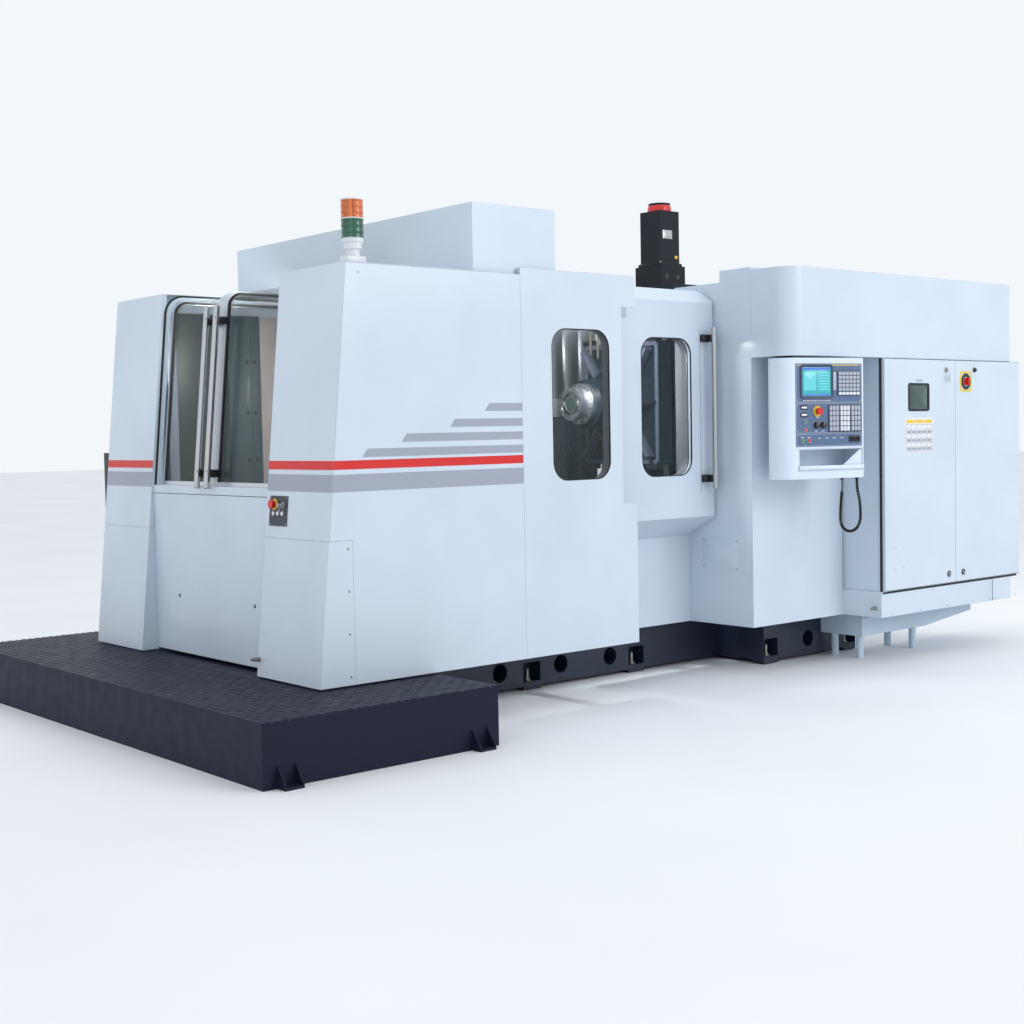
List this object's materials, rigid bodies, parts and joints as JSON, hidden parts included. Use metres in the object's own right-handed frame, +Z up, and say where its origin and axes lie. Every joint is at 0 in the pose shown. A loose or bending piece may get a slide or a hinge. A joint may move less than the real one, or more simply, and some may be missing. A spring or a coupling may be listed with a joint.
{
  "type": "cnc machining center",
  "caption": "Horizontal machining centre with a pallet loading station behind clear sliding doors, windowed operator door, swivelling control pendant and electrical cabinet.",
  "frame": {"origin": "on the floor, under the centre pad of the bed, on the machine's long centre line", "axes": "+X along the machine from the loading station towards the electrical cabinet, +Y away from the operator's side, +Z up"},
  "size_m": [5.7093, 3.28, 2.844],
  "materials": {
    "enclosure_paint": "satin powder coat",
    "bed_paint": "satin paint on a casting",
    "platform_paint": "satin paint, tread pattern on top",
    "tank_paint": "satin powder coat",
    "chrome_tube": "polished",
    "window_glass": "clear",
    "door_frame_aluminium": "anodised",
    "latch_steel": "brushed",
    "red_plastic": "gloss",
    "green_plastic": "gloss",
    "white_plastic": "gloss",
    "black_plastic": "fine texture",
    "pendant_paint": "satin powder coat",
    "panel_blue": "satin",
    "black_rubber": "matte",
    "station_plate_paint": "satin",
    "lamp_plastic": "translucent lenses over a white foot",
    "casting_paint": "satin paint on castings",
    "spindle_steel": "ground",
    "motor_paint": "satin black",
    "pallet_iron": "machined"
  },
  "bodies": {
    "frame": {"bed_casting": "bed_paint", "access_platform": "platform_paint", "near_column_casing": "enclosure_paint", "far_column_casing": "enclosure_paint", "near_lower_cover": "enclosure_paint", "far_lower_cover": "enclosure_paint", "station_apron": "enclosure_paint", "front_side_panel": "enclosure_paint", "far_side_panel": "enclosure_paint", "roof_housing": "enclosure_paint", "window_panel": "enclosure_paint", "base_panel": "enclosure_paint", "control_casing": "enclosure_paint", "header_fascia": "enclosure_paint", "cabinet_body": "enclosure_paint", "heat_exchanger": "enclosure_paint", "coolant_tank": "tank_paint", "window_glass": "window_glass", "station_plate": "station_plate_paint", "signal_tower": "lamp_plastic", "side_box": "black_plastic"},
    "near_loading_door": {"loading_door_near": "door_frame_aluminium", "loading_glass_near": "window_glass"},
    "far_loading_door": {"loading_door_far": "door_frame_aluminium", "loading_glass_far": "window_glass"},
    "sliding_door": {"operator_door": "enclosure_paint", "operator_door_glass": "window_glass", "operator_door_handle": "chrome_tube"},
    "left_cabinet_door": {"cabinet_door_left": "enclosure_paint"},
    "right_cabinet_door": {"cabinet_door_right": "enclosure_paint"},
    "left_latch": {"cabinet_latch_left": "latch_steel"},
    "right_latch": {"cabinet_latch_right": "latch_steel"},
    "door_lock": {"cabinet_lock": "latch_steel"},
    "isolator": {"isolator_switch": "red_plastic"},
    "pendant": {"pendant_housing": "pendant_paint", "pendant_panel": "panel_blue", "handwheel_lead": "black_rubber"},
    "pendant_stop": {"pendant_stop_button": "red_plastic"},
    "cycle_start": {"cycle_start_button": "green_plastic"},
    "feed_hold": {"feed_hold_button": "red_plastic"},
    "power_on": {"power_on_button": "green_plastic"},
    "power_off": {"power_off_button": "red_plastic"},
    "feed_knob": {"feed_dial": "black_plastic"},
    "speed_knob": {"speed_dial": "black_plastic"},
    "station_stop": {"station_stop_button": "red_plastic"},
    "station_ready": {"station_ready_button": "white_plastic"},
    "station_turn": {"station_turn_button": "white_plastic"},
    "station_clamp": {"station_clamp_button": "white_plastic"},
    "station_key": {"key_switch": "latch_steel"},
    "column": {"moving_column": "casting_paint", "column_motor": "motor_paint"},
    "head": {"headstock": "casting_paint"},
    "spindle_rotor": {"spindle": "spindle_steel"},
    "saddle": {"table_saddle": "casting_paint"},
    "turntable": {"rotary_table": "spindle_steel", "machining_pallet": "pallet_iron"},
    "changer_lift": {"changer_post": "spindle_steel"},
    "changer_arm": {"pallet_changer": "casting_paint", "station_pallet": "pallet_iron"},
    "magazine": {"tool_magazine": "black_plastic"}
  },
  "joints": [
    {"name": "near_loading_door_slide", "type": "slide", "parent": "frame", "child": "near_loading_door", "axis": [0, -1, 0], "range_m": [0, 0.54]},
    {"name": "far_loading_door_slide", "type": "slide", "parent": "frame", "child": "far_loading_door", "axis": [0, 1, 0], "range_m": [0, 0.5]},
    {"name": "operator_door_slide", "type": "slide", "parent": "frame", "child": "sliding_door", "axis": [-1, 0, 0], "range_m": [0, 0.7]},
    {"name": "left_cabinet_hinge", "type": "hinge", "parent": "frame", "child": "left_cabinet_door", "pos_m": [1.3345, -1.5223, 1.1], "axis": [0, 0, -1], "range_deg": [0, 105]},
    {"name": "right_cabinet_hinge", "type": "hinge", "parent": "frame", "child": "right_cabinet_door", "pos_m": [2.7685, -1.5223, 1.1], "axis": [0, 0, 1], "range_deg": [0, 105]},
    {"name": "left_latch_turn", "type": "hinge", "parent": "left_cabinet_door", "child": "left_latch", "pos_m": [1.978, -1.5303, 0.484], "axis": [0, -1, 0], "range_deg": [0, 90]},
    {"name": "right_latch_turn", "type": "hinge", "parent": "right_cabinet_door", "child": "right_latch", "pos_m": [2.132, -1.5303, 0.484], "axis": [0, -1, 0], "range_deg": [0, 90]},
    {"name": "door_lock_turn", "type": "hinge", "parent": "left_cabinet_door", "child": "door_lock", "pos_m": [1.954, -1.5303, 1.727], "axis": [0, -1, 0], "range_deg": [0, 90]},
    {"name": "isolator_turn", "type": "hinge", "parent": "right_cabinet_door", "child": "isolator", "pos_m": [2.166, -1.5303, 1.66], "axis": [0, -1, 0], "range_deg": [0, 90]},
    {"name": "pendant_swivel", "type": "hinge", "parent": "frame", "child": "pendant", "pos_m": [0.59, -1.408, 1.79], "axis": [0, 0, 1], "range_deg": [-60, 15]},
    {"name": "pendant_stop_press", "type": "slide", "parent": "pendant", "child": "pendant_stop", "axis": [0.2588, 0.9659, 0], "range_m": [0, 0.006]},
    {"name": "cycle_start_press", "type": "slide", "parent": "pendant", "child": "cycle_start", "axis": [0.2588, 0.9659, 0], "range_m": [0, 0.004], "stiffness_N_per_m": 400},
    {"name": "feed_hold_press", "type": "slide", "parent": "pendant", "child": "feed_hold", "axis": [0.2588, 0.9659, 0], "range_m": [0, 0.004], "stiffness_N_per_m": 400},
    {"name": "power_on_press", "type": "slide", "parent": "pendant", "child": "power_on", "axis": [0.2588, 0.9659, 0], "range_m": [0, 0.004], "stiffness_N_per_m": 400},
    {"name": "power_off_press", "type": "slide", "parent": "pendant", "child": "power_off", "axis": [0.2588, 0.9659, 0], "range_m": [0, 0.004], "stiffness_N_per_m": 400},
    {"name": "feed_dial_turn", "type": "hinge", "parent": "pendant", "child": "feed_knob", "pos_m": [0.69949, -1.53258, 1.409], "axis": [0.2588, 0.9659, 0], "range_deg": [-135, 135]},
    {"name": "speed_dial_turn", "type": "hinge", "parent": "pendant", "child": "speed_knob", "pos_m": [0.74392, -1.54449, 1.409], "axis": [0.2588, 0.9659, 0], "range_deg": [-135, 135]},
    {"name": "station_stop_press", "type": "slide", "parent": "frame", "child": "station_stop", "axis": [0.9952, 0, -0.0977], "range_m": [0, 0.006]},
    {"name": "station_ready_press", "type": "slide", "parent": "frame", "child": "station_ready", "axis": [0.9952, 0, -0.0977], "range_m": [0, 0.004], "stiffness_N_per_m": 400},
    {"name": "station_turn_press", "type": "slide", "parent": "frame", "child": "station_turn", "axis": [0.9952, 0, -0.0977], "range_m": [0, 0.004], "stiffness_N_per_m": 400},
    {"name": "station_clamp_press", "type": "slide", "parent": "frame", "child": "station_clamp", "axis": [0.9952, 0, -0.0977], "range_m": [0, 0.004], "stiffness_N_per_m": 400},
    {"name": "station_key_turn", "type": "hinge", "parent": "frame", "child": "station_key", "pos_m": [-2.22113, -0.747, 1.08354], "axis": [0.9952, 0, -0.0977], "range_deg": [0, 90]},
    {"name": "column_travel", "type": "slide", "parent": "frame", "child": "column", "axis": [0, 1, 0], "range_m": [-0.35, 0.35]},
    {"name": "head_travel", "type": "slide", "parent": "column", "child": "head", "axis": [0, 0, 1], "range_m": [-0.5, 0.08]},
    {"name": "spindle_spin", "type": "hinge", "parent": "head", "child": "spindle_rotor", "pos_m": [0.276, 0, 1.568], "axis": [-1, 0, 0], "continuous": true},
    {"name": "table_travel", "type": "slide", "parent": "frame", "child": "saddle", "axis": [1, 0, 0], "range_m": [-0.56, 0.12]},
    {"name": "table_turn", "type": "hinge", "parent": "saddle", "child": "turntable", "pos_m": [-0.3, 0, 0.9], "axis": [0, 0, 1], "continuous": true},
    {"name": "changer_rise", "type": "slide", "parent": "frame", "child": "changer_lift", "axis": [0, 0, 1], "range_m": [0, 0.06]},
    {"name": "changer_turn", "type": "hinge", "parent": "changer_lift", "child": "changer_arm", "pos_m": [-1.3, 0, 0.9], "axis": [0, 0, 1], "range_deg": [0, 180]},
    {"name": "magazine_turn", "type": "hinge", "parent": "frame", "child": "magazine", "pos_m": [0, 0.76, 1.75], "axis": [1, 0, 0], "continuous": true}
  ]
}
